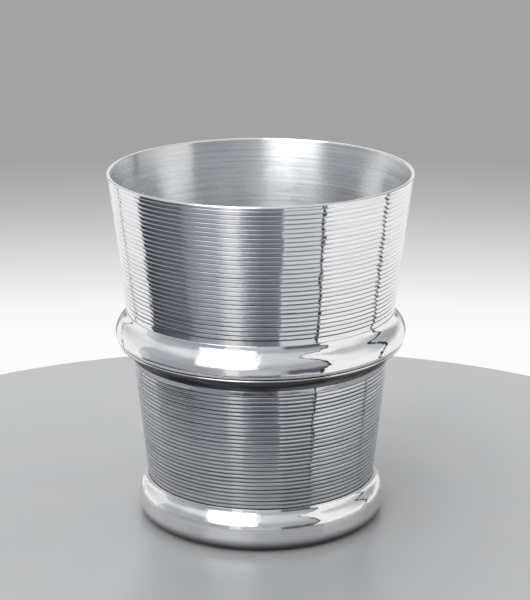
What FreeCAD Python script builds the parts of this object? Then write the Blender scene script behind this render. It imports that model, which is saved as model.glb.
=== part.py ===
"""A two-tier champagne bucket of turned aluminium, in millimetres.

Two tapering reeded walls meet in a spigot and socket under the waist bead. The beads and the collar are
turned rings that sit on the taper of the walls, and the foot carries the lower wall and the floor on a ledge.
The origin is the middle of the circle that the bucket stands on, and +Z points up.
"""
import FreeCAD, Part
import os
import Sketcher

DRIVING_SIZES = [
    ("bucket_height", 234.0, "table to the top of the lip"),
    ("rim_diameter", 200.0, "outside of the lip"),
    ("seam_diameter", 173.7, "outside of both walls at the seam behind the waist bead"),
    ("base_diameter", 147.4, "outside of the lower wall at its bottom edge"),
    ("wall", 2.5, "thickness of both walls, measured level"),
    ("fit_gap", 0.1, "film of solder between the pieces, on the radius"),
    ("lip_flare", 0.25, "how far the lip stands out from the taper of the wall"),
    ("lip_crown", 0.8, "how far the lip rises in the middle of its thickness"),
    ("lip_band", 0.4, "plain band between the curve of the lip and the reeds"),
    ("reed_depth", 0.4, "height of a reed above its grooves"),
    ("reed_run_out", 1.4, "height over which the outermost grooves run out into the plain bands"),
    ("upper_reeds", 29, "reeds on the upper wall"),
    ("upper_plain_band", 2.3, "plain band between the waist bead and the reeds above it"),
    ("lower_reeds", 29, "reeds on the lower wall"),
    ("lower_plain_band", 3.1, "plain band between the collar and the reeds below it"),
    ("seam_lap", 6.0, "depth of the socket that takes the spigot"),
    ("lap_end_gap", 0.2, "room above the end of the spigot"),
    ("seam_level", 130.0, "height of the seam of the two walls"),
    ("bead_sag", 4.3, "widest part of the waist bead below the seam"),
    ("bead_projection", 9.45, "how far the waist bead stands out from the seam"),
    ("bead_rise", 16.5, "widest part of the waist bead to its upper edge"),
    ("bead_drop", 3.7, "widest part of the waist bead to its underside"),
    ("ogee_share", 0.62, "share of the height of a bead's upper side that is round, the rest being a cove"),
    ("cove_lip", 0.45, "how far the upper edge of a cove stands out from the wall"),
    ("quirk_projection", 6.7, "how far the underside of the waist bead stands out from the wall"),
    ("fillet_projection", 8.1, "how far the round fillet under the bead stands out from the wall"),
    ("fillet_height", 2.4, "height of the round fillet"),
    ("fillet_step", 0.4, "step in from the fillet to the hollow"),
    ("hollow_height", 6.8, "height of the hollow under the fillet"),
    ("collar_band", 1.0, "height of the thin band that ends the collar"),
    ("collar_lip", 0.8, "how far the thin band stands out from the wall"),
    ("foot_projection", 6.2, "how far the foot bead stands out from the wall at its upper edge"),
    ("foot_low", 9.6, "table to the height where the side of the foot bead turns upright"),
    ("foot_undercut", 5.8, "how far the foot bead draws in from there to the table"),
    ("foot_straight", 5.8, "upright part of the foot bead"),
    ("foot_rise", 12.9, "upright part of the foot bead to its upper edge"),
    ("ledge_height", 5.0, "thickness of the ledge inside the foot bead"),
    ("ledge_width", 7.8, "reach of the ledge under the lower wall and the base plate"),
    ("plate_thickness", 2.4, "sheet of the base plate"),
    ("plate_edge", 12.0, "height of the turned-up edge of the base plate"),
    ("plate_corner", 3.0, "inside corner of the base plate"),
]

# Levels that several pieces share, from the table up
BEAD_WIDEST = "(sizes.seam_level - sizes.bead_sag)"
BEAD_TOP = f"({BEAD_WIDEST} + sizes.bead_rise)"
BEAD_FOOT = f"({BEAD_WIDEST} - sizes.bead_drop)"
FILLET_FOOT = f"({BEAD_FOOT} - sizes.fillet_height)"
HOLLOW_FOOT = f"({FILLET_FOOT} - sizes.hollow_height)"
COLLAR_FOOT = f"({HOLLOW_FOOT} - sizes.collar_band)"
FOOT_SHOULDER = "(sizes.foot_low + sizes.foot_straight)"
FOOT_TOP = f"({FOOT_SHOULDER} + sizes.foot_rise)"

doc = FreeCAD.newDocument("champagne_bucket")


def write_sizes():
    """Put the driving sizes on a sheet, one row each, and name their cells."""
    sheet = doc.addObject("Spreadsheet::Sheet", "sizes")
    for row, (alias, value, note) in enumerate(DRIVING_SIZES, start=1):
        sheet.set(f"A{row}", alias)
        sheet.set(f"B{row}", str(value))
        sheet.set(f"C{row}", note)
        sheet.setAlias(f"B{row}", alias)
    doc.recompute()
    return sheet


def upper_radius(level):
    """Outside of the upper wall at a level, over the crests of its reeds."""
    lean = (
        "(sizes.rim_diameter / 2 - sizes.lip_flare - sizes.seam_diameter / 2)"
        " / (sizes.bucket_height - sizes.seam_level)"
    )
    return f"(sizes.seam_diameter / 2 + ({level} - sizes.seam_level) * {lean})"


def lower_radius(level):
    """Outside of the lower wall at a level, over the crests of its reeds."""
    lean = "(sizes.seam_diameter - sizes.base_diameter) / 2 / (sizes.seam_level - sizes.ledge_height)"
    return f"(sizes.base_diameter / 2 + ({level} - sizes.ledge_height) * {lean})"


def flush_radius(across, along):
    """Radius of an arc that sets out upright, or level, and moves across by one size over the other."""
    return f"(({across})^2 + ({along})^2) / (2 * ({across}))"


def reeded_edge(radius_at, lowest, highest, reeds):
    """Corners of a reeded wall from its lowest groove up to its highest, with a crest between any two."""
    run_out = [(radius_at(f"({lowest} - sizes.reed_run_out)"), f"({lowest} - sizes.reed_run_out)")]
    grooves_and_crests = []
    for half_reed in range(2 * reeds + 1):
        level = f"({lowest} + ({highest} - {lowest}) * {half_reed} / {2 * reeds})"
        depth = " - sizes.reed_depth" if half_reed % 2 == 0 else ""
        grooves_and_crests.append((radius_at(level) + depth, level))
    run_in = [(radius_at(f"({highest} + sizes.reed_run_out)"), f"({highest} + sizes.reed_run_out)")]
    return run_out + grooves_and_crests + run_in


class Outline:
    """A closed outline in a body's upright plane, drawn anticlockwise, whose corners follow the sheet."""

    def __init__(self, body):
        self.body = body
        self.sketch = body.newObject("Sketcher::SketchObject", body.Label + "_outline")
        upright = [plane for plane in body.Origin.OriginFeatures if plane.Role == "XZ_Plane"]
        self.sketch.AttachmentSupport = [(upright[0], "")]
        self.sketch.MapMode = "FlatFace"
        self.corners = []
        self.arcs = {}

    def corner(self, across, up):
        """Add a corner by its distance from the axis and its height, with a straight edge to it."""
        self.corners.append((across, up))

    def arc_to(self, across, up, radius, hollow=False):
        """Add a corner with an arc of the given radius to it, bulging out of the metal or, if hollow, in."""
        self.arcs[len(self.corners) - 1] = (radius, hollow)
        self.corners.append((across, up))

    def ogee_to(self, across, up, widest, shoulder):
        """Add a round shoulder that sets out upright and runs without a break into a cove that ends upright."""
        turning_in = f"(({widest}) - sizes.ogee_share * (({widest}) - ({across})))"
        turning_up = f"(({shoulder}) + sizes.ogee_share * (({up}) - ({shoulder})))"
        round_curve = flush_radius(f"{widest} - {turning_in}", f"{turning_up} - {shoulder}")
        cove_curve = flush_radius(f"{turning_in} - ({across})", f"{up} - {turning_up}")
        self.arc_to(turning_in, turning_up, round_curve)
        self.arc_to(across, up, cove_curve, hollow=True)

    def edge(self, number, ends):
        """The edge that starts at a corner, as drawn before its constraints are set."""
        start = ends[number]
        finish = ends[(number + 1) % len(ends)]
        if number not in self.arcs:
            return Part.LineSegment(start, finish)
        radius_text, hollow = self.arcs[number]
        radius = self.body.evalExpression(radius_text)
        chord = finish - start
        bulge = radius - (radius**2 - (chord.Length / 2) ** 2) ** 0.5
        inward = FreeCAD.Vector(-chord.y, chord.x, 0).normalize()
        middle = (start + finish) / 2 + inward * (bulge if hollow else -bulge)
        return Part.Arc(start, middle, finish)

    def draw(self):
        """Draw the outline and tie every corner and every arc to the sheet."""
        ends = [
            FreeCAD.Vector(self.body.evalExpression(across), self.body.evalExpression(up), 0)
            for across, up in self.corners
        ]
        self.sketch.addGeometry([self.edge(number, ends) for number in range(len(ends))], False)
        start_of, end_of = self.name_ends(ends)
        rules = []
        bound_rules = []
        for number in range(len(ends)):
            following = (number + 1) % len(ends)
            rules.append(Sketcher.Constraint("Coincident", number, end_of[number], following, start_of[following]))
        for number, corner in enumerate(self.corners):
            self.tie_corner(number, start_of[number], corner, ends[number], rules, bound_rules)
        for number, (radius_text, hollow) in self.arcs.items():
            bound_rules.append((len(rules), radius_text))
            rules.append(Sketcher.Constraint("Radius", number, self.body.evalExpression(radius_text)))
        self.sketch.addConstraint(rules)
        for rule, text in bound_rules:
            self.sketch.setExpression(f"Constraints[{rule}]", text)
        return self.sketch

    def name_ends(self, ends):
        """Which end of each edge is its start: the sketcher turns a clockwise arc round."""
        first_point, second_point = 1, 2
        start_of = {}
        end_of = {}
        for number in range(len(ends)):
            drawn = self.sketch.getPoint(number, first_point)
            turned = drawn.distanceToPoint(ends[number]) > drawn.distanceToPoint(ends[(number + 1) % len(ends)])
            start_of[number] = second_point if turned else first_point
            end_of[number] = first_point if turned else second_point
        return start_of, end_of

    def tie_corner(self, number, point, corner, drawn, rules, bound_rules):
        """Hold a corner by its two expressions, or on an axis of the sketch where one is zero."""
        horizontal_axis, vertical_axis, origin_point = -1, -2, 1
        for kind, text, value, axis in (
            ("DistanceX", corner[0], drawn.x, vertical_axis),
            ("DistanceY", corner[1], drawn.y, horizontal_axis),
        ):
            if text == "0":
                rules.append(Sketcher.Constraint("PointOnObject", number, point, axis))
            else:
                bound_rules.append((len(rules), text))
                rules.append(Sketcher.Constraint(kind, horizontal_axis, origin_point, number, point, value))


def new_body(label):
    """An empty body for one piece, standing at the origin."""
    body = doc.addObject("PartDesign::Body", label)
    body.Label = label
    body.Placement = FreeCAD.Placement()
    return body


def turn(outline):
    """Turn an outline about the upright axis, as on a lathe."""
    body = outline.body
    sketch = outline.draw()
    turned = body.newObject("PartDesign::Revolution", body.Label + "_turned")
    turned.Profile = sketch
    turned.ReferenceAxis = (sketch, ["V_Axis"])
    turned.Angle = 360
    sketch.Visibility = False
    body.Tip = turned
    return body


def make_upper_wall(sheet):
    """Reeded shell with a crowned lip and, at its lower end, a socket bored to half its thickness."""
    outline = Outline(new_body("upper_wall"))
    lip_level = "(sizes.bucket_height - sizes.lip_crown)"
    lip_outside = "sizes.rim_diameter / 2"
    lip_inside = upper_radius(lip_level) + " - sizes.wall"
    lip_middle = f"({lip_outside} + {lip_inside}) / 2"
    lip_curve = flush_radius("sizes.lip_crown", f"({lip_outside} - ({lip_inside})) / 2")
    lowest_groove = f"({BEAD_TOP} + sizes.upper_plain_band + sizes.reed_run_out)"
    highest_groove = f"({lip_level} - sizes.lip_band - sizes.reed_run_out)"
    socket_end = "(sizes.seam_level + sizes.seam_lap)"
    socket_depth = " - sizes.wall / 2 + sizes.fit_gap / 2"
    outline.corner(upper_radius("sizes.seam_level"), "sizes.seam_level")
    for across, up in reeded_edge(upper_radius, lowest_groove, highest_groove, int(sheet.upper_reeds)):
        outline.corner(across, up)
    outline.corner(lip_outside, lip_level)
    outline.arc_to(lip_middle, "sizes.bucket_height", lip_curve)
    outline.arc_to(lip_inside, lip_level, lip_curve)
    outline.corner(upper_radius(socket_end) + " - sizes.wall", socket_end)
    outline.corner(upper_radius(socket_end) + socket_depth, socket_end)
    outline.corner(upper_radius("sizes.seam_level") + socket_depth, "sizes.seam_level")
    return turn(outline)


def make_lower_wall(sheet):
    """Reeded shell that stands on the ledge of the foot and ends in a spigot of half its thickness."""
    outline = Outline(new_body("lower_wall"))
    highest_groove = f"({COLLAR_FOOT} - sizes.lower_plain_band - sizes.reed_run_out)"
    spigot_end = "(sizes.seam_level + sizes.seam_lap - sizes.lap_end_gap)"
    spigot_depth = " - sizes.wall / 2 - sizes.fit_gap / 2"
    outline.corner(lower_radius("sizes.ledge_height"), "sizes.ledge_height")
    for across, up in reeded_edge(lower_radius, FOOT_TOP, highest_groove, int(sheet.lower_reeds)):
        outline.corner(across, up)
    outline.corner(lower_radius("sizes.seam_level"), "sizes.seam_level")
    outline.corner(upper_radius("sizes.seam_level") + spigot_depth, "sizes.seam_level")
    outline.corner(upper_radius(spigot_end) + spigot_depth, spigot_end)
    outline.corner(upper_radius(spigot_end) + " - sizes.wall", spigot_end)
    outline.corner(upper_radius("sizes.seam_level") + " - sizes.wall", "sizes.seam_level")
    outline.corner(lower_radius("sizes.ledge_height") + " - sizes.wall", "sizes.ledge_height")
    return turn(outline)


def make_waist_bead():
    """Ring over the seam, bored to the taper of both walls, with an ogee above and a quirk underneath."""
    outline = Outline(new_body("waist_bead"))
    widest = "(sizes.seam_diameter / 2 + sizes.bead_projection)"
    quirk = lower_radius(BEAD_FOOT) + " + sizes.quirk_projection"
    outline.corner(lower_radius(BEAD_FOOT) + " + sizes.fit_gap", BEAD_FOOT)
    outline.corner(quirk, BEAD_FOOT)
    outline.arc_to(widest, BEAD_WIDEST, flush_radius(f"{widest} - ({quirk})", "sizes.bead_drop"))
    outline.ogee_to(upper_radius(BEAD_TOP) + " + sizes.cove_lip", BEAD_TOP, widest, BEAD_WIDEST)
    outline.corner(upper_radius(BEAD_TOP) + " + sizes.fit_gap", BEAD_TOP)
    outline.corner("sizes.seam_diameter / 2 + sizes.fit_gap", "sizes.seam_level")
    return turn(outline)


def make_waist_collar():
    """Moulding under the bead: a small round fillet, a hollow and a thin band."""
    outline = Outline(new_body("waist_collar"))
    fillet_widest = lower_radius(BEAD_FOOT) + " + sizes.fillet_projection"
    fillet_root = f"{fillet_widest} - sizes.fillet_height / 2"
    hollow_top = f"{fillet_root} - sizes.fillet_step"
    band = lower_radius(COLLAR_FOOT) + " + sizes.collar_lip"
    hollow_curve = flush_radius(f"{hollow_top} - ({band})", "sizes.hollow_height")
    outline.corner(lower_radius(COLLAR_FOOT) + " + sizes.fit_gap", COLLAR_FOOT)
    outline.corner(band, COLLAR_FOOT)
    outline.corner(band, HOLLOW_FOOT)
    outline.arc_to(hollow_top, FILLET_FOOT, hollow_curve, hollow=True)
    outline.corner(fillet_root, FILLET_FOOT)
    outline.arc_to(fillet_widest, f"({BEAD_FOOT} - sizes.fillet_height / 2)", "sizes.fillet_height / 2")
    outline.arc_to(fillet_root, BEAD_FOOT, "sizes.fillet_height / 2")
    outline.corner(lower_radius(BEAD_FOOT) + " + sizes.fit_gap", BEAD_FOOT)
    return turn(outline)


def make_foot_bead():
    """Broad ring with an ogee above, a ledge inside under the lower wall and a flat face to stand on."""
    outline = Outline(new_body("foot_bead"))
    widest = f"({lower_radius(FOOT_TOP)} + sizes.foot_projection)"
    ledge_bore = "sizes.base_diameter / 2 - sizes.ledge_width"
    outline.corner(ledge_bore, "0")
    outline.corner(f"{widest} - sizes.foot_undercut", "0")
    outline.arc_to(widest, "sizes.foot_low", flush_radius("sizes.foot_undercut", "sizes.foot_low"))
    outline.corner(widest, FOOT_SHOULDER)
    outline.ogee_to(lower_radius(FOOT_TOP) + " + sizes.cove_lip", FOOT_TOP, widest, FOOT_SHOULDER)
    outline.corner(lower_radius(FOOT_TOP) + " + sizes.fit_gap", FOOT_TOP)
    outline.corner("sizes.base_diameter / 2 + sizes.fit_gap", "sizes.ledge_height")
    outline.corner(ledge_bore, "sizes.ledge_height")
    return turn(outline)


def make_base_plate():
    """Floor of the bucket, a shallow spun dish that stands on the ledge inside the lower wall."""
    outline = Outline(new_body("base_plate"))
    edge_top = "(sizes.ledge_height + sizes.plate_edge)"
    floor_top = "(sizes.ledge_height + sizes.plate_thickness)"
    corner_top = f"({floor_top} + sizes.plate_corner)"
    outer_corner = "(sizes.plate_corner + sizes.plate_thickness)"
    to_outside = " - sizes.wall - sizes.fit_gap"
    to_inside = to_outside + " - sizes.plate_thickness"
    outline.corner("0", "sizes.ledge_height")
    outline.corner(lower_radius(corner_top) + to_outside + f" - {outer_corner}", "sizes.ledge_height")
    outline.arc_to(lower_radius(corner_top) + to_outside, corner_top, outer_corner)
    outline.corner(lower_radius(edge_top) + to_outside, edge_top)
    outline.corner(lower_radius(edge_top) + to_inside, edge_top)
    outline.corner(lower_radius(corner_top) + to_inside, corner_top)
    outline.arc_to(
        lower_radius(corner_top) + to_inside + " - sizes.plate_corner", floor_top, "sizes.plate_corner", hollow=True
    )
    outline.corner("0", floor_top)
    return turn(outline)


def check(pieces):
    """Stop if any object of the document failed or any piece isn't one sound solid."""
    doc.recompute()
    for item in doc.Objects:
        faults = [state for state in item.State if state in ("Invalid", "Error")]
        if faults:
            raise RuntimeError(f"{item.Label}: {faults}")
    for piece in pieces:
        shape = piece.Shape
        if shape.isNull() or not shape.isValid() or len(shape.Solids) != 1 or shape.Volume <= 0:
            raise RuntimeError(f"{piece.Label}: not one valid solid")


def main():
    """Build every piece, check it and write its STEP file."""
    sheet = write_sizes()
    pieces = [
        make_upper_wall(sheet),
        make_waist_bead(),
        make_waist_collar(),
        make_lower_wall(sheet),
        make_foot_bead(),
        make_base_plate(),
    ]
    check(pieces)
    os.makedirs("parts", exist_ok=True)
    for piece in pieces:
        piece.Shape.exportStep(f"parts/{piece.Label}.step")
        print(f"{piece.Label}: {len(piece.Shape.Faces)} faces, {piece.Shape.Volume:.0f} mm3")


main()
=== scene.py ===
"""Looks of a two-tier champagne bucket of turned and polished aluminium, in metres."""
import math

import bpy
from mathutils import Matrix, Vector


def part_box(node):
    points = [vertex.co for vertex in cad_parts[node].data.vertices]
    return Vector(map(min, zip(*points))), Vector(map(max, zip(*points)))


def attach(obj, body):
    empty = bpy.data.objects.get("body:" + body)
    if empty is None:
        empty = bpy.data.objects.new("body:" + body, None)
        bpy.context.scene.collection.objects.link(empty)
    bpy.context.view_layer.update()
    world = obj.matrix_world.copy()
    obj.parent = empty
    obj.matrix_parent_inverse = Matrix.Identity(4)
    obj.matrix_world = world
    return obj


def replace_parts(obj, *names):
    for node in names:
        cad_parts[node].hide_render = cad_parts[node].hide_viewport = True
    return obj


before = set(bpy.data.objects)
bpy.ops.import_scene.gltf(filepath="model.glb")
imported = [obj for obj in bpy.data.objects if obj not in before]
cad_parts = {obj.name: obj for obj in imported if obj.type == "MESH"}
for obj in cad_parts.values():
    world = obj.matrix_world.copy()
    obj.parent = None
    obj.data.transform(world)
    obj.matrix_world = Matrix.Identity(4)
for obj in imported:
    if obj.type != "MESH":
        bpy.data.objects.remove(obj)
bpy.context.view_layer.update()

MM = 0.001

# Sizes read from the frame
RIM_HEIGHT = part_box("upper_wall")[1].z
RIM_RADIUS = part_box("upper_wall")[1].x
SEAM_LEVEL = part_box("upper_wall")[0].z
SEAM_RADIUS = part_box("lower_wall")[1].x
WALL_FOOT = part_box("lower_wall")[0].z
SPIGOT_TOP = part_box("lower_wall")[1].z
BEAD_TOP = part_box("waist_bead")[1].z
BEAD_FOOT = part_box("waist_bead")[0].z
BEAD_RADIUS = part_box("waist_bead")[1].x
COLLAR_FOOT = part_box("waist_collar")[0].z
FILLET_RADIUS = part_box("waist_collar")[1].x
FOOT_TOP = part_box("foot_bead")[1].z
FOOT_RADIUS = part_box("foot_bead")[1].x
PLATE_EDGE_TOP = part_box("base_plate")[1].z

# Sizes of the pieces that the frame's boxes don't hold
BASE_RADIUS = 73.7 * MM
WALL = 2.5 * MM
FIT_GAP = 0.1 * MM
LIP_CROWN = 0.8 * MM
LIP_BAND = 0.4 * MM
REED_DEPTH = 0.2 * MM
REED_RUN_OUT = 1.4 * MM
REEDS = 29
UPPER_PLAIN_BAND = 2.3 * MM
LOWER_PLAIN_BAND = 3.1 * MM
LAP_END_GAP = 0.2 * MM
BEAD_DROP = 3.7 * MM
OGEE_SHARE = 0.62
COVE_LIP = 0.45 * MM
QUIRK_PROJECTION = 6.7 * MM
FILLET_HEIGHT = 2.4 * MM
FILLET_STEP = 0.4 * MM
COLLAR_BAND = 1.0 * MM
COLLAR_LIP = 0.8 * MM
FOOT_LOW = 9.6 * MM
FOOT_UNDERCUT = 5.8 * MM
FOOT_RISE = 12.9 * MM
LEDGE_WIDTH = 7.8 * MM
PLATE_THICKNESS = 2.4 * MM
PLATE_CORNER = 3.0 * MM

# How finely the turned pieces are drawn
AROUND = 288
ARC_STEP = math.radians(5)
MERGE_DISTANCE = MM / 1000
EDGE_BREAK = 0.15 * MM
EDGE_BREAK_STEPS = 2
BROKEN_ABOVE = math.radians(35)
SMOOTH_BELOW = math.radians(50)

# How the finishes are spread over the pieces
NOISE_RANGE = (0.3, 0.7)
ACROSS_THE_LINES = 0.25
RELIEF_DETAIL = 2
# Painted shade: this dark colour darkens the reeds' grooves, partly as polish residue, and the foot near the
# table
RESIDUE_AND_SHADE_COLOUR = (0.07, 0.073, 0.08, 1)
# Painted shade: this darker colour fills the bead's quirk and the collar's hollow
DEEP_SHADE_COLOUR = (0.03, 0.031, 0.034, 1)
# Roughness added wherever the painted shade darkens the metal
DARKENED_ROUGHNESS = 0.2
GROOVE_DARK_LEAD_SHARE = 0.12
GROOVE_DARK_SOFT_SHARE = 0.05
GROOVE_DARK_LENGTH = 70 * MM
GROOVE_DARK_DETAIL = 2
LEAST_GROOVE_DARK = 0.6
JOINT_PATCHES = (30 * MM, 2 * MM, 3)
LEAST_JOINT_SHADE = 0.85

# Shape of a reed: share of the way from one groove to the next, and share of its height
BROAD_REED = (
    (0.0, 0.0), (0.045, 0.5), (0.09, 0.86), (0.15, 0.97), (0.5, 1.0), (0.85, 0.97), (0.91, 0.86),
    (0.955, 0.5), (1.0, 0.0),
)
ROUND_REED = (
    (0.0, 0.0), (0.07, 0.36), (0.16, 0.66), (0.3, 0.9), (0.5, 1.0), (0.7, 0.9), (0.84, 0.66),
    (0.93, 0.36), (1.0, 0.0),
)


def upper_radius(level):
    """Outside of the upper wall over the crests of its reeds."""
    lean = (RIM_RADIUS - SEAM_RADIUS) / (RIM_HEIGHT - LIP_CROWN - SEAM_LEVEL)
    return SEAM_RADIUS + (level - SEAM_LEVEL) * lean


def lower_radius(level):
    """Outside of the lower wall over the crests of its reeds."""
    lean = (SEAM_RADIUS - BASE_RADIUS) / (SEAM_LEVEL - WALL_FOOT)
    return BASE_RADIUS + (level - WALL_FOOT) * lean


def flush_arc(across, along):
    """Radius and angle of an arc that sets out upright and moves across by one size over the other."""
    radius = (across**2 + along**2) / (2 * across)
    return radius, math.asin(along / radius)


def deselect_all():
    """Leave nothing selected, the frame's nodes included."""
    for item in bpy.context.selected_objects:
        item.select_set(False)


class Turning:
    """A piece turned on a lathe: its outline is extruded point by point and then spun about the axis."""

    def __init__(self, name, radius, level):
        deselect_all()
        bpy.ops.mesh.primitive_plane_add(size=MM)
        self.piece = bpy.context.object
        self.piece.name = name
        self.radius = radius
        self.level = level
        bpy.ops.object.mode_set(mode="EDIT")
        bpy.ops.mesh.merge(type="CENTER")
        bpy.ops.transform.translate(value=(radius, 0, level))

    def line_to(self, radius, level):
        """Extrude the last point to a new place."""
        step = (radius - self.radius, 0, level - self.level)
        bpy.ops.mesh.extrude_region_move(TRANSFORM_OT_translate={"value": step})
        self.radius = radius
        self.level = level

    def arc_about(self, centre_radius, centre_level, angle):
        """Spin the last point about a centre, anticlockwise for a positive angle."""
        steps = max(2, round(abs(angle) / ARC_STEP))
        bpy.ops.mesh.spin(
            steps=steps, angle=angle, center=(centre_radius, 0, centre_level), axis=(0, 1, 0)
        )
        across = self.radius - centre_radius
        up = self.level - centre_level
        self.radius = centre_radius + across * math.cos(angle) - up * math.sin(angle)
        self.level = centre_level + across * math.sin(angle) + up * math.cos(angle)

    def ogee_to(self, radius, level):
        """A round shoulder that sets out upright and runs without a break into a cove that ends upright."""
        across = self.radius - radius
        along = level - self.level
        shoulder, shoulder_angle = flush_arc(OGEE_SHARE * across, OGEE_SHARE * along)
        cove, cove_angle = flush_arc((1 - OGEE_SHARE) * across, (1 - OGEE_SHARE) * along)
        self.arc_about(self.radius - shoulder, self.level, shoulder_angle)
        self.arc_about(radius + cove, level, -cove_angle)

    def reeds(self, radius_at, highest, shape):
        """Draw one reed from the lowest groove, then repeat it up the taper to the highest."""
        lowest = self.level
        pitch = (highest - lowest) / REEDS
        for place, height in shape[1:]:
            level = lowest + pitch * place
            self.line_to(radius_at(level) - REED_DEPTH * (1 - height), level)
        bpy.ops.object.mode_set(mode="OBJECT")
        row = self.piece.modifiers.new("reeds_up_the_taper", "ARRAY")
        row.count = REEDS
        row.use_relative_offset = False
        row.use_constant_offset = True
        row.constant_offset_displace = (radius_at(pitch) - radius_at(0), 0, pitch)
        row.use_merge_vertices = True
        row.merge_threshold = MERGE_DISTANCE
        bpy.ops.object.modifier_apply(modifier=row.name)
        self.radius = radius_at(highest) - REED_DEPTH
        self.level = highest
        for point in self.piece.data.vertices:
            point.select = point.co.z > highest - MERGE_DISTANCE
        bpy.ops.object.mode_set(mode="EDIT")

    def turn(self, slot, *materials):
        """Spin the outline into a solid, close its seam, break its edges and smooth it."""
        bpy.ops.mesh.select_all(action="SELECT")
        bpy.ops.mesh.spin(steps=AROUND, angle=math.tau, center=(0, 0, 0), axis=(0, 0, 1))
        bpy.ops.mesh.select_all(action="SELECT")
        bpy.ops.mesh.remove_doubles(threshold=MERGE_DISTANCE)
        bpy.ops.mesh.normals_make_consistent(inside=False)
        bpy.ops.object.mode_set(mode="OBJECT")
        edges = self.piece.modifiers.new("broken_edges", "BEVEL")
        edges.width = EDGE_BREAK
        edges.segments = EDGE_BREAK_STEPS
        edges.limit_method = "ANGLE"
        edges.angle_limit = BROKEN_ABOVE
        edges.use_clamp_overlap = True
        bpy.ops.object.modifier_apply(modifier=edges.name)
        bpy.ops.object.shade_smooth_by_angle(angle=SMOOTH_BELOW)
        for material in materials:
            self.piece.data.materials.append(material)
        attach(self.piece, "root")
        return self.piece


def paint_inside(piece, highest):
    """Give the second material to the faces that look towards the axis."""
    for face in piece.data.polygons:
        outward = face.center.x * face.normal.x + face.center.y * face.normal.y
        if outward < 0 and face.center.z < highest:
            face.material_index = 1


# Turned pieces


def make_upper_wall(outside, inside):
    """Reeded tapering shell with a crowned lip and a socket at its lower end."""
    lip_level = RIM_HEIGHT - LIP_CROWN
    lip_inside = upper_radius(lip_level) - WALL
    half_lip = (RIM_RADIUS - lip_inside) / 2
    crown_radius = (LIP_CROWN**2 + half_lip**2) / (2 * LIP_CROWN)
    crown_angle = math.asin(half_lip / crown_radius)
    socket_end = SPIGOT_TOP + LAP_END_GAP
    socket_depth = WALL / 2 - FIT_GAP / 2
    lowest_groove = BEAD_TOP + UPPER_PLAIN_BAND + REED_RUN_OUT
    highest_groove = lip_level - LIP_BAND - REED_RUN_OUT
    groove_radius = upper_radius(lowest_groove) - REED_DEPTH
    shell = Turning("upper_wall_reeded", groove_radius, lowest_groove)
    shell.reeds(upper_radius, highest_groove, BROAD_REED)
    shell.line_to(upper_radius(highest_groove + REED_RUN_OUT), highest_groove + REED_RUN_OUT)
    shell.line_to(RIM_RADIUS, lip_level)
    shell.arc_about(RIM_RADIUS - half_lip, RIM_HEIGHT - crown_radius, 2 * crown_angle)
    shell.line_to(upper_radius(socket_end) - WALL, socket_end)
    shell.line_to(upper_radius(socket_end) - socket_depth, socket_end)
    shell.line_to(upper_radius(SEAM_LEVEL) - socket_depth, SEAM_LEVEL)
    shell.line_to(upper_radius(SEAM_LEVEL), SEAM_LEVEL)
    shell.line_to(upper_radius(lowest_groove - REED_RUN_OUT), lowest_groove - REED_RUN_OUT)
    shell.line_to(groove_radius, lowest_groove)
    piece = shell.turn("reeded_metal", outside, inside)
    paint_inside(piece, lip_level)
    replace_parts(piece, "upper_wall")


def make_lower_wall(outside, inside):
    """Reeded tapering shell that ends in a spigot of half its thickness."""
    spigot_depth = WALL / 2 + FIT_GAP / 2
    highest_groove = COLLAR_FOOT - LOWER_PLAIN_BAND - REED_RUN_OUT
    groove_radius = lower_radius(FOOT_TOP) - REED_DEPTH
    shell = Turning("lower_wall_reeded", groove_radius, FOOT_TOP)
    shell.reeds(lower_radius, highest_groove, ROUND_REED)
    shell.line_to(lower_radius(highest_groove + REED_RUN_OUT), highest_groove + REED_RUN_OUT)
    shell.line_to(SEAM_RADIUS, SEAM_LEVEL)
    shell.line_to(SEAM_RADIUS - spigot_depth, SEAM_LEVEL)
    shell.line_to(upper_radius(SPIGOT_TOP) - spigot_depth, SPIGOT_TOP)
    shell.line_to(upper_radius(SPIGOT_TOP) - WALL, SPIGOT_TOP)
    shell.line_to(SEAM_RADIUS - WALL, SEAM_LEVEL)
    shell.line_to(BASE_RADIUS - WALL, WALL_FOOT)
    shell.line_to(BASE_RADIUS, WALL_FOOT)
    shell.line_to(lower_radius(FOOT_TOP - REED_RUN_OUT), FOOT_TOP - REED_RUN_OUT)
    shell.line_to(groove_radius, FOOT_TOP)
    piece = shell.turn("reeded_metal", outside, inside)
    paint_inside(piece, SPIGOT_TOP)
    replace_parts(piece, "lower_wall")


def make_waist_bead(metal):
    """Ring over the seam, with an ogee above and drawn in underneath to a quirk."""
    bore_foot = lower_radius(BEAD_FOOT) + FIT_GAP
    quirk = lower_radius(BEAD_FOOT) + QUIRK_PROJECTION
    underside, underside_angle = flush_arc(BEAD_RADIUS - quirk, BEAD_DROP)
    ring = Turning("waist_bead_polished", bore_foot, BEAD_FOOT)
    ring.line_to(quirk, BEAD_FOOT)
    ring.arc_about(BEAD_RADIUS - underside, BEAD_FOOT + BEAD_DROP, underside_angle)
    ring.ogee_to(upper_radius(BEAD_TOP) + COVE_LIP, BEAD_TOP)
    ring.line_to(upper_radius(BEAD_TOP) + FIT_GAP, BEAD_TOP)
    ring.line_to(SEAM_RADIUS + FIT_GAP, SEAM_LEVEL)
    ring.line_to(bore_foot, BEAD_FOOT)
    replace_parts(ring.turn("polished_metal", metal), "waist_bead")


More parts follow.
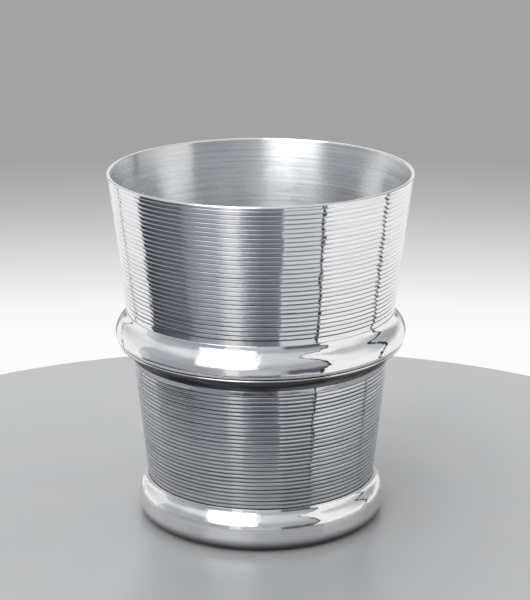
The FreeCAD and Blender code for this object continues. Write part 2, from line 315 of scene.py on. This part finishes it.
def make_waist_collar(metal):
    """Moulding under the bead: a round fillet, a hollow and a thin band."""
    bore_foot = lower_radius(COLLAR_FOOT) + FIT_GAP
    band = lower_radius(COLLAR_FOOT) + COLLAR_LIP
    band_top = COLLAR_FOOT + COLLAR_BAND
    fillet_root = FILLET_RADIUS - FILLET_HEIGHT / 2
    fillet_foot = BEAD_FOOT - FILLET_HEIGHT
    hollow, hollow_angle = flush_arc(fillet_root - FILLET_STEP - band, fillet_foot - band_top)
    ring = Turning("waist_collar_turned", bore_foot, COLLAR_FOOT)
    ring.line_to(band, COLLAR_FOOT)
    ring.line_to(band, band_top)
    ring.arc_about(band + hollow, band_top, -hollow_angle)
    ring.line_to(fillet_root, fillet_foot)
    ring.arc_about(fillet_root, BEAD_FOOT - FILLET_HEIGHT / 2, math.pi)
    ring.line_to(lower_radius(BEAD_FOOT) + FIT_GAP, BEAD_FOOT)
    ring.line_to(bore_foot, COLLAR_FOOT)
    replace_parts(ring.turn("polished_metal", metal), "waist_collar")


def make_foot_bead(metal):
    """Broad ring that the bucket stands on, with an ogee above and a ledge inside."""
    ledge_bore = BASE_RADIUS - LEDGE_WIDTH
    low_round, low_angle = flush_arc(FOOT_UNDERCUT, FOOT_LOW)
    ring = Turning("foot_bead_polished", ledge_bore, 0)
    ring.line_to(FOOT_RADIUS - FOOT_UNDERCUT, 0)
    ring.arc_about(FOOT_RADIUS - low_round, FOOT_LOW, low_angle)
    ring.line_to(FOOT_RADIUS, FOOT_TOP - FOOT_RISE)
    ring.ogee_to(lower_radius(FOOT_TOP) + COVE_LIP, FOOT_TOP)
    ring.line_to(lower_radius(FOOT_TOP) + FIT_GAP, FOOT_TOP)
    ring.line_to(BASE_RADIUS + FIT_GAP, WALL_FOOT)
    ring.line_to(ledge_bore, WALL_FOOT)
    ring.line_to(ledge_bore, 0)
    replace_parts(ring.turn("polished_metal", metal), "foot_bead")


def make_base_plate(metal):
    """Floor of the bucket, a shallow spun dish."""
    floor_top = WALL_FOOT + PLATE_THICKNESS
    corner_top = floor_top + PLATE_CORNER
    outside = lower_radius(corner_top) - WALL - FIT_GAP
    outer_corner = PLATE_CORNER + PLATE_THICKNESS
    edge_outside = lower_radius(PLATE_EDGE_TOP) - WALL - FIT_GAP
    dish = Turning("base_plate_spun", 0, WALL_FOOT)
    dish.line_to(outside - outer_corner, WALL_FOOT)
    dish.arc_about(outside - outer_corner, corner_top, math.pi / 2)
    dish.line_to(edge_outside, PLATE_EDGE_TOP)
    dish.line_to(edge_outside - PLATE_THICKNESS, PLATE_EDGE_TOP)
    dish.line_to(outside - PLATE_THICKNESS, corner_top)
    dish.arc_about(outside - outer_corner, corner_top, -math.pi / 2)
    dish.line_to(0, floor_top)
    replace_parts(dish.turn("spun_metal", metal), "base_plate")


# Metal finishes


def new_material(name):
    """An empty node material with its output node."""
    material = bpy.data.materials.new(name)
    material.use_nodes = True
    nodes = material.node_tree.nodes
    nodes.clear()
    output = nodes.new("ShaderNodeOutputMaterial")
    return material, nodes, material.node_tree.links, output


def maths(nodes, links, operation, *values):
    """A maths node on values or sockets."""
    node = nodes.new("ShaderNodeMath")
    node.operation = operation
    for socket, value in zip(node.inputs, values):
        if isinstance(value, (int, float)):
            socket.default_value = value
        else:
            links.new(value, socket)
    return node.outputs["Value"]


def rescaled(nodes, links, value, low, high, to_low=0.0, to_high=1.0, shape="LINEAR", clamped=True):
    """Map one range of a value to another, clamped at its ends if asked."""
    node = nodes.new("ShaderNodeMapRange")
    node.interpolation_type = shape
    node.clamp = clamped
    node.inputs["From Min"].default_value = low
    node.inputs["From Max"].default_value = high
    node.inputs["To Min"].default_value = to_low
    node.inputs["To Max"].default_value = to_high
    links.new(value, node.inputs["Value"])
    return node.outputs["Result"]


def window(nodes, links, value, low, high, soft):
    """One between two limits and zero outside them, with soft edges."""
    rising = rescaled(nodes, links, value, low - soft, low + soft, shape="SMOOTHSTEP")
    falling = rescaled(nodes, links, value, high - soft, high + soft, 1.0, 0.0, shape="SMOOTHSTEP")
    return maths(nodes, links, "MULTIPLY", rising, falling)


def blend_colours(nodes, links, kind, share, first, second):
    """Blend two colours or colour sockets."""
    mix = nodes.new("ShaderNodeMix")
    mix.data_type = "RGBA"
    mix.blend_type = kind
    for socket, value in ((mix.inputs["Factor"], share), (mix.inputs["A"], first), (mix.inputs["B"], second)):
        if isinstance(value, (int, float, tuple)):
            socket.default_value = value
        else:
            links.new(value, socket)
    return mix.outputs["Result"]


def stretched_noise(nodes, links, around, along, detail, clamped=True):
    """Noise whose grain is so long round the piece and so long up its axis."""
    place = nodes.new("ShaderNodeTexCoord")
    mapping = nodes.new("ShaderNodeMapping")
    mapping.inputs["Scale"].default_value = (1 / around, 1 / around, 1 / along)
    noise = nodes.new("ShaderNodeTexNoise")
    noise.inputs["Scale"].default_value = 1
    noise.inputs["Detail"].default_value = detail
    links.new(place.outputs["Object"], mapping.inputs["Vector"])
    links.new(mapping.outputs["Vector"], noise.inputs["Vector"])
    return rescaled(nodes, links, noise.outputs["Fac"], *NOISE_RANGE, clamped=clamped)


def height_of_surface(nodes, links):
    """Height above the table."""
    place = nodes.new("ShaderNodeTexCoord")
    axes = nodes.new("ShaderNodeSeparateXYZ")
    links.new(place.outputs["Object"], axes.inputs["Vector"])
    return axes.outputs["Z"]


def groove_residue_and_shade(nodes, links, lowest, highest, width_share, top_share):
    """How dark the grooves of a reeded wall are painted, partly polish residue and partly painted shade: most
    at its foot and uneven from reed to reed.
    """
    level = height_of_surface(nodes, links)
    pitch = (highest - lowest) / REEDS
    reed = maths(nodes, links, "MULTIPLY_ADD", level, 1 / pitch, -lowest / pitch)
    place = maths(nodes, links, "FRACT", maths(nodes, links, "ADD", reed, GROOVE_DARK_LEAD_SHARE))
    in_groove = window(nodes, links, place, GROOVE_DARK_SOFT_SHARE, width_share, GROOVE_DARK_SOFT_SHARE)
    on_reeds = window(nodes, links, level, lowest - pitch / 4, highest + pitch / 4, pitch / 8)
    down_share = rescaled(nodes, links, level, lowest, highest, 1.0, 0.0)
    by_height = maths(nodes, links, "MULTIPLY", down_share, down_share)
    by_height = rescaled(nodes, links, by_height, 0.0, 1.0, top_share, 1.0)
    patches = stretched_noise(nodes, links, GROOVE_DARK_LENGTH, pitch, GROOVE_DARK_DETAIL)
    uneven = rescaled(nodes, links, patches, 0.0, 1.0, LEAST_GROOVE_DARK, 1.0)
    darkening = maths(nodes, links, "MULTIPLY", in_groove, on_reeds)
    darkening = maths(nodes, links, "MULTIPLY", darkening, by_height)
    return maths(nodes, links, "MULTIPLY", darkening, uneven)


def joint_painted_shade(nodes, links, low, high, soft):
    """Painted shade in a hollow between two heights."""
    level = height_of_surface(nodes, links)
    patches = stretched_noise(nodes, links, *JOINT_PATCHES)
    uneven = rescaled(nodes, links, patches, 0.0, 1.0, LEAST_JOINT_SHADE, 1.0)
    return maths(nodes, links, "MULTIPLY", window(nodes, links, level, low, high, soft), uneven)


def bump(nodes, links, height, distance, below=None):
    """A bump node of a given height, laid over another if one is given."""
    relief = nodes.new("ShaderNodeBump")
    relief.inputs["Strength"].default_value = 1
    relief.inputs["Distance"].default_value = distance
    links.new(height, relief.inputs["Height"])
    if below is not None:
        links.new(below, relief.inputs["Normal"])
    return relief.outputs["Normal"]


def turned_metal(name, dark, light, roughness, anisotropy, wear, reliefs, darkening=None, darkened_colour=RESIDUE_AND_SHADE_COLOUR):
    """Aluminium with waves and turning lines, uneven wear in its polish, and painted shade in its hollows and
    grooves.

    The wear is a noise's length round the piece, its length up the axis and its detail.
    Each relief is a noise's length round the piece, its length up the axis and its height.
    The darkening is the function that places the painted shade, followed by its values.
    """
    material, nodes, links, output = new_material(name)
    shader = nodes.new("ShaderNodeBsdfPrincipled")
    shader.inputs["Metallic"].default_value = 1
    shader.inputs["Anisotropic"].default_value = anisotropy
    shader.inputs["Anisotropic Rotation"].default_value = ACROSS_THE_LINES
    tangent = nodes.new("ShaderNodeTangent")
    tangent.direction_type = "RADIAL"
    tangent.axis = "Z"
    links.new(tangent.outputs["Tangent"], shader.inputs["Tangent"])
    worn = stretched_noise(nodes, links, *wear)
    colour = blend_colours(nodes, links, "MIX", worn, (*dark, 1), (*light, 1))
    gloss = rescaled(nodes, links, worn, 0.0, 1.0, *roughness)
    if darkening is not None:
        kind, *values = darkening
        darkened_share = kind(nodes, links, *values)
        colour = blend_colours(nodes, links, "MIX", darkened_share, colour, darkened_colour)
        gloss = maths(nodes, links, "MULTIPLY_ADD", darkened_share, DARKENED_ROUGHNESS, gloss)
    relief = None
    for around, along, height in reliefs:
        waves = stretched_noise(nodes, links, around, along, RELIEF_DETAIL, clamped=False)
        relief = bump(nodes, links, waves, height, relief)
    links.new(colour, shader.inputs["Base Color"])
    links.new(gloss, shader.inputs["Roughness"])
    links.new(relief, shader.inputs["Normal"])
    links.new(shader.outputs["BSDF"], output.inputs["Surface"])
    return material


# Table that the bucket stands on
TABLE_REACH = 330 * MM
TABLE_DEPTH = 265 * MM
TABLE_MIDDLE = 75 * MM
TABLE_THICKNESS = 18 * MM
TABLE_EDGE_ROUND = 3 * MM
TABLE_EDGE_STEPS = 4
TABLE_SMOOTH_BELOW = math.radians(30)
TABLE_ROUGHNESS = 0.25
TABLE_CLOUDS = (60 * MM, 60 * MM, 2)
TABLE_TONES = ((0.455, 0.46, 0.465, 1), (0.475, 0.475, 0.475, 1))


def make_floor():
    """Oval pale table top that the bucket stands on."""
    deselect_all()
    bpy.ops.mesh.primitive_cylinder_add(
        vertices=AROUND, radius=TABLE_REACH, depth=TABLE_THICKNESS,
        location=(0, TABLE_MIDDLE, -TABLE_THICKNESS / 2),
    )
    floor = bpy.context.object
    floor.name = "floor"
    floor.scale.y = TABLE_DEPTH / TABLE_REACH
    bpy.ops.object.transform_apply(location=True, rotation=True, scale=True)
    edge = floor.modifiers.new("rounded_edge", "BEVEL")
    edge.width = TABLE_EDGE_ROUND
    edge.segments = TABLE_EDGE_STEPS
    bpy.ops.object.modifier_apply(modifier=edge.name)
    bpy.ops.object.shade_smooth_by_angle(angle=TABLE_SMOOTH_BELOW)
    material, nodes, links, output = new_material("pale_table_top")
    shader = nodes.new("ShaderNodeBsdfPrincipled")
    shader.inputs["Roughness"].default_value = TABLE_ROUGHNESS
    clouds = stretched_noise(nodes, links, *TABLE_CLOUDS)
    colour = blend_colours(nodes, links, "MIX", clouds, *TABLE_TONES)
    links.new(colour, shader.inputs["Base Color"])
    links.new(shader.outputs["BSDF"], output.inputs["Surface"])
    floor.data.materials.append(material)


# Camera, fitted to the rim, the beads and the foot in the photograph
CAMERA_PLACE = (2.85 * MM, -1266.4 * MM, 526.6 * MM)
CAMERA_PITCH = math.radians(16.727)
FOCAL_PIXELS = 2000
FRAME_HEIGHT_PIXELS = 600
SENSOR_HEIGHT_MM = 24


def make_camera():
    """Camera at the photograph's viewing angle."""
    lens = bpy.data.cameras.new("camera")
    lens.sensor_fit = "VERTICAL"
    lens.sensor_height = SENSOR_HEIGHT_MM
    lens.lens = FOCAL_PIXELS * SENSOR_HEIGHT_MM / FRAME_HEIGHT_PIXELS
    camera = bpy.data.objects.new("camera", lens)
    camera.location = CAMERA_PLACE
    camera.rotation_euler = (math.pi / 2 - CAMERA_PITCH, 0, 0)
    bpy.context.scene.collection.objects.link(camera)
    bpy.context.scene.camera = camera


# Light in front of the stage, between its side cards: brightness by degrees to the camera's right
STEEP_LIGHT = ((-107, 0.03), (57, 0.03))
DOWNWARD_LIGHT = (
    (-105, 0.04), (-88, 0.10), (-66, 0.15), (-60, 0.28), (-50, 0.34), (-36, 0.42), (-29, 0.68),
    (-24, 0.76), (-18, 0.72), (-14, 0.44), (-8, 0.26), (2, 0.18), (12, 0.20), (16.4, 0.24),
    (18.2, 0.66), (50, 0.72),
)
SKIMMING_LIGHT = (
    (-104, 0.70), (-92, 0.45), (-75, 0.38), (-46, 0.38), (-29, 0.45), (-26, 0.85), (-19, 0.85),
    (-16, 0.60), (0, 0.58), (16, 0.50), (22, 0.12), (56, 0.12),
)
LEVEL_LIGHT = (
    (-104, 0.56), (-90, 0.46), (-75, 0.48), (-46, 0.38), (-29, 0.45), (-26, 0.85), (-19, 0.85),
    (-16, 0.55), (-5, 0.46), (18, 0.46), (30, 0.42), (56, 0.42),
)
UPWARD_LIGHT = (
    (-104, 0.85), (-80, 0.80), (-50, 0.66), (-30, 0.75), (0, 0.75), (15, 0.66), (30, 0.62), (56, 0.62),
)
OVERHEAD_LIGHT = 0.72
# Side cards: degrees at which each starts, low down and from level up, and the lean of its foot
RIGHT_CARD_FROM = (49.5, 57.2, 6)
LEFT_CARD_FROM = (-107, -107, 0)
CARD_EDGE_SOFT = 0.4
CARD_LIGHT = 0.95
CARD_MIDDLE_LIGHT = (
    (-180, 0.40), (-150, 0.60), (-125, 0.80), (-107, 0.85), (57, 0.95), (88, 0.90), (105, 0.60),
    (130, 0.42), (180, 0.40),
)
CARD_TOP_LIGHT = (
    (-180, 0.80), (-148, 0.60), (-112, 0.65), (56, 0.98), (76, 0.95), (86, 0.60), (114, 0.55),
    (148, 0.60), (180, 0.80),
)
# Dark gaps between the cards: the same three values, then half the width of each
CARD_GAPS = (((48.2, 55.7, 6), 1.25), ((108, 117, 32), 1.8), ((-136.2, -150.2, 0), 0.9))
GAP_LIGHT = 0.02
# Degrees above level between which the foot of an edge leans, and at which its upper part starts
LEAN_RANGE = (-40, -19)
EDGES_LEVEL_FROM = (3, 6)
# Light behind the stage by degrees above level
BACK_LIGHT = (
    (-90, 0.97), (-17.5, 0.97), (-16.7, 0.92), (-15.3, 0.68), (-13.9, 0.47), (-12.7, 0.366), (-8, 0.366),
    (6, 0.9), (90, 0.9),
)
BACK_FROM = 155
BACK_SOFT = 2
# Degrees above level at which each light takes over, and how softly
DOWNWARD_FROM = (-39, 3)
SKIMMING_FROM = (-16, 6)
LEVEL_FROM = (8, 8)
UPWARD_FROM = (38, 13)
OVERHEAD_FROM = (68, 17)
FULL_TURN = 360
HALF_TURN = 180
# Colour of a dim, a middling and a bright part of the room
ROOM_TINTS = (
    (0.0, (0, 0, 0)), (0.1, (0.088, 0.096, 0.115)), (0.4, (0.375, 0.395, 0.430)),
    (0.95, (0.95, 0.95, 0.945)),
)
SOFTBOX_LIGHT = 1.6
# Where the softbox shows on a turned surface: degrees round it and degrees above level
SOFTBOX_TURN = (-24.5, -2.5)
SOFTBOX_RISE = (16.5, 100)
SOFT_EDGE = 3.5


def ramp(nodes, links, value, stops):
    """A ramp over a value, from pairs of place and brightness or colour."""
    node = nodes.new("ShaderNodeValToRGB")
    places = node.color_ramp.elements
    for number, (place, colour) in enumerate(stops):
        stop = places[number] if number < len(places) else places.new(place)
        stop.position = place
        stop.color = (*colour, 1) if isinstance(colour, tuple) else (colour, colour, colour, 1)
    links.new(value, node.inputs["Fac"])
    return node.outputs["Color"]


def direction_angles(nodes, links, direction):
    """Degrees to the right of the camera and degrees above level of a direction."""
    axes = nodes.new("ShaderNodeSeparateXYZ")
    links.new(direction, axes.inputs["Vector"])
    front = maths(nodes, links, "MULTIPLY", axes.outputs["Y"], -1.0)
    turn = maths(nodes, links, "ARCTAN2", axes.outputs["X"], front)
    rise = maths(nodes, links, "ARCSINE", axes.outputs["Z"])
    return tuple(maths(nodes, links, "MULTIPLY", angle, math.degrees(1)) for angle in (turn, rise))


def place_by_height(nodes, links, rise, low_down, level, lean):
    """Degrees round the stage of an edge that leans at its foot and steps aside at level."""
    start, soft = EDGES_LEVEL_FROM
    upright = rescaled(nodes, links, rise, start - soft, start + soft, low_down, level)
    at_foot = rescaled(nodes, links, rise, *LEAN_RANGE, lean, 0.0)
    return maths(nodes, links, "ADD", upright, at_foot)


def beside_the_stage(nodes, links, turn, rise):
    """One on the side cards and zero between them."""
    right = maths(nodes, links, "SUBTRACT", turn, place_by_height(nodes, links, rise, *RIGHT_CARD_FROM))
    left = maths(nodes, links, "SUBTRACT", place_by_height(nodes, links, rise, *LEFT_CARD_FROM), turn)
    edge = maths(nodes, links, "MAXIMUM", right, left)
    return rescaled(nodes, links, edge, -CARD_EDGE_SOFT, CARD_EDGE_SOFT, shape="SMOOTHSTEP")


def dimmed_in_gaps(nodes, links, turn, rise, light):
    """The light with the dark gaps between the cards taken out."""
    for edge, half_width in CARD_GAPS:
        place = place_by_height(nodes, links, rise, *edge)
        off = maths(nodes, links, "ABSOLUTE", maths(nodes, links, "SUBTRACT", turn, place))
        in_gap = rescaled(
            nodes, links, off, half_width - CARD_EDGE_SOFT, half_width + CARD_EDGE_SOFT, 1.0, 0.0,
            shape="SMOOTHSTEP",
        )
        light = blend_colours(nodes, links, "MIX", in_gap, light, (GAP_LIGHT, GAP_LIGHT, GAP_LIGHT, 1))
    return light


def make_light():
    """Soft studio light by direction: pale sides and back, a dim front, a pale ceiling and one softbox."""
    world = bpy.data.worlds.new("studio_light")
    world.use_nodes = True
    bpy.context.scene.world = world
    nodes, links = world.node_tree.nodes, world.node_tree.links
    nodes.clear()
    output = nodes.new("ShaderNodeOutputWorld")
    background = nodes.new("ShaderNodeBackground")
    place = nodes.new("ShaderNodeTexCoord")
    turn, rise = direction_angles(nodes, links, place.outputs["Generated"])
    turn_share = maths(nodes, links, "MULTIPLY_ADD", turn, 1 / FULL_TURN, 0.5)
    rise_share = maths(nodes, links, "MULTIPLY_ADD", rise, 1 / HALF_TURN, 0.5)
    back = ramp(nodes, links, rise_share, [(angle / HALF_TURN + 0.5, light) for angle, light in BACK_LIGHT])
    behind = rescaled(
        nodes, links, maths(nodes, links, "ABSOLUTE", turn), BACK_FROM - BACK_SOFT, BACK_FROM + BACK_SOFT,
        shape="SMOOTHSTEP",
    )
    steep, downward, skimming, level, upward, card_middle, card_top = (
        ramp(nodes, links, turn_share, [(angle / FULL_TURN + 0.5, light) for angle, light in lights])
        for lights in (
            STEEP_LIGHT, DOWNWARD_LIGHT, SKIMMING_LIGHT, LEVEL_LIGHT, UPWARD_LIGHT, CARD_MIDDLE_LIGHT,
            CARD_TOP_LIGHT,
        )
    )
    cards = beside_the_stage(nodes, links, turn, rise)
    overhead = (OVERHEAD_LIGHT, OVERHEAD_LIGHT, OVERHEAD_LIGHT, 1)
    card = (CARD_LIGHT, CARD_LIGHT, CARD_LIGHT, 1)
    room, side = steep, card
    for (start, soft), front, beside in (
        (DOWNWARD_FROM, downward, card), (SKIMMING_FROM, skimming, card), (LEVEL_FROM, level, card_middle),
        (UPWARD_FROM, upward, card_top), (OVERHEAD_FROM, overhead, overhead),
    ):
        above = rescaled(nodes, links, rise, start - soft, start + soft, shape="SMOOTHSTEP")
        room = blend_colours(nodes, links, "MIX", above, room, front)
        side = blend_colours(nodes, links, "MIX", above, side, beside)
    room = blend_colours(nodes, links, "MIX", cards, room, side)
    room = ramp(nodes, links, dimmed_in_gaps(nodes, links, turn, rise, room), ROOM_TINTS)
    colour = blend_colours(nodes, links, "MIX", behind, room, back)
    halfway = nodes.new("ShaderNodeVectorMath")
    halfway.operation = "ADD"
    halfway.inputs[1].default_value = (0, -math.cos(CAMERA_PITCH), math.sin(CAMERA_PITCH))
    facing = nodes.new("ShaderNodeVectorMath")
    facing.operation = "NORMALIZE"
    links.new(place.outputs["Generated"], halfway.inputs[0])
    links.new(halfway.outputs["Vector"], facing.inputs[0])
    surface_turn, surface_rise = direction_angles(nodes, links, facing.outputs["Vector"])
    softbox = maths(
        nodes, links, "MULTIPLY",
        window(nodes, links, surface_turn, *SOFTBOX_TURN, SOFT_EDGE),
        window(nodes, links, surface_rise, *SOFTBOX_RISE, SOFT_EDGE),
    )
    softbox = maths(nodes, links, "MULTIPLY", softbox, SOFTBOX_LIGHT)
    colour = blend_colours(nodes, links, "ADD", 1.0, colour, softbox)
    links.new(colour, background.inputs["Color"])
    links.new(background.outputs["Background"], output.inputs["Surface"])


# Wear of the finishes: length round the piece, length up its axis and detail
REED_WEAR = (45 * MM, 2.4 * MM, 3)
POLISH_WEAR = (18 * MM, 7 * MM, 4)
INSIDE_WEAR = (90 * MM, 1.6 * MM, 3)

# Reliefs of the finishes: length round the piece, length up its axis and height
TURNING_LINES = (40 * MM, 0.35 * MM, 0.0015 * MM)
REED_WAVES = (60 * MM, 3 * MM, 0.05 * MM)
WALL_WAVES = (12 * MM, 10 * MM, 0.08 * MM)
POLISHING_WAVES = (11 * MM, 8 * MM, 0.10 * MM)
POLISHING_MARKS = (4 * MM, 1.2 * MM, 0.006 * MM)
INSIDE_LINES = (60 * MM, 0.6 * MM, 0.010 * MM)
INSIDE_BANDS = (90 * MM, 3 * MM, 0.03 * MM)
INSIDE_WAVES = (30 * MM, 14 * MM, 0.10 * MM)

# Heights between which the painted shade of each piece lies, and how softly it ends
UPPER_GROOVES = (
    BEAD_TOP + UPPER_PLAIN_BAND + REED_RUN_OUT,
    RIM_HEIGHT - LIP_CROWN - LIP_BAND - REED_RUN_OUT,
)
LOWER_GROOVES = (FOOT_TOP, COLLAR_FOOT - LOWER_PLAIN_BAND - REED_RUN_OUT)
# Painted shade under the bead and in the collar's hollow
BEAD_QUIRK = (BEAD_FOOT - BEAD_DROP, BEAD_FOOT + BEAD_DROP / 4, 0.6 * MM)
COLLAR_HOLLOW = (COLLAR_FOOT - COLLAR_BAND, BEAD_FOOT - FILLET_HEIGHT / 2, 0.5 * MM)
# Painted shade on the foot towards the table it stands on
FOOT_PAINTED_SHADE = (-FOOT_LOW, FOOT_LOW * 0.7, 4 * MM)
# Share of a reed that is darkened by residue and painted shade, and what is left of it at the top of the wall
UPPER_GROOVE_DARKENING = (0.36, 0.10)
LOWER_GROOVE_DARKENING = (0.45, 1.0)

# Both reeded walls get dark grooves: partly polish residue, mostly painted shade, strongest low down
UPPER_REEDED = turned_metal(
    "upper_reeded_polish", dark=(0.77, 0.78, 0.80), light=(0.89, 0.89, 0.90), roughness=(0.045, 0.085),
    anisotropy=0.6, wear=REED_WEAR, reliefs=(WALL_WAVES, REED_WAVES, TURNING_LINES),
    darkening=(groove_residue_and_shade, *UPPER_GROOVES, *UPPER_GROOVE_DARKENING),
)
# Painted shade: the lower wall's colour is set darker than the upper wall's to stand in for its shade and
# dark reflections
LOWER_REEDED = turned_metal(
    "lower_reeded_polish", dark=(0.56, 0.57, 0.60), light=(0.73, 0.74, 0.76), roughness=(0.05, 0.09),
    anisotropy=0.6, wear=REED_WEAR, reliefs=(WALL_WAVES, REED_WAVES, TURNING_LINES),
    darkening=(groove_residue_and_shade, *LOWER_GROOVES, *LOWER_GROOVE_DARKENING),
)
# Painted shade: the inside's colour is set darker than the polished outside to stand in for the shade inside
# the bucket
INSIDE = turned_metal(
    "turned_satin", dark=(0.63, 0.64, 0.655), light=(0.85, 0.855, 0.86), roughness=(0.24, 0.31),
    anisotropy=0.9, wear=INSIDE_WEAR, reliefs=(INSIDE_WAVES, INSIDE_BANDS, INSIDE_LINES),
)
# The bead's underside gets painted shade
BEAD_POLISH = turned_metal(
    "bright_polish", dark=(0.84, 0.84, 0.85), light=(0.90, 0.90, 0.90), roughness=(0.04, 0.10),
    anisotropy=0.2, wear=POLISH_WEAR, reliefs=(POLISHING_WAVES, POLISHING_MARKS),
    darkening=(joint_painted_shade, *BEAD_QUIRK), darkened_colour=DEEP_SHADE_COLOUR,
)
# The collar's hollow gets painted shade
COLLAR_POLISH = turned_metal(
    "collar_polish", dark=(0.80, 0.80, 0.81), light=(0.88, 0.88, 0.88), roughness=(0.06, 0.14),
    anisotropy=0.2, wear=POLISH_WEAR, reliefs=(POLISHING_WAVES, TURNING_LINES),
    darkening=(joint_painted_shade, *COLLAR_HOLLOW), darkened_colour=DEEP_SHADE_COLOUR,
)
# The foot's lowest part gets painted shade
FOOT_POLISH = turned_metal(
    "foot_polish", dark=(0.84, 0.84, 0.85), light=(0.90, 0.90, 0.90), roughness=(0.05, 0.11),
    anisotropy=0.2, wear=POLISH_WEAR, reliefs=(POLISHING_WAVES, POLISHING_MARKS),
    darkening=(joint_painted_shade, *FOOT_PAINTED_SHADE),
)

make_upper_wall(UPPER_REEDED, INSIDE)
make_lower_wall(LOWER_REEDED, INSIDE)
make_waist_bead(BEAD_POLISH)
make_waist_collar(COLLAR_POLISH)
make_foot_bead(FOOT_POLISH)
make_base_plate(INSIDE)
make_floor()
make_light()
make_camera()
bpy.context.scene.view_settings.view_transform = "Standard"
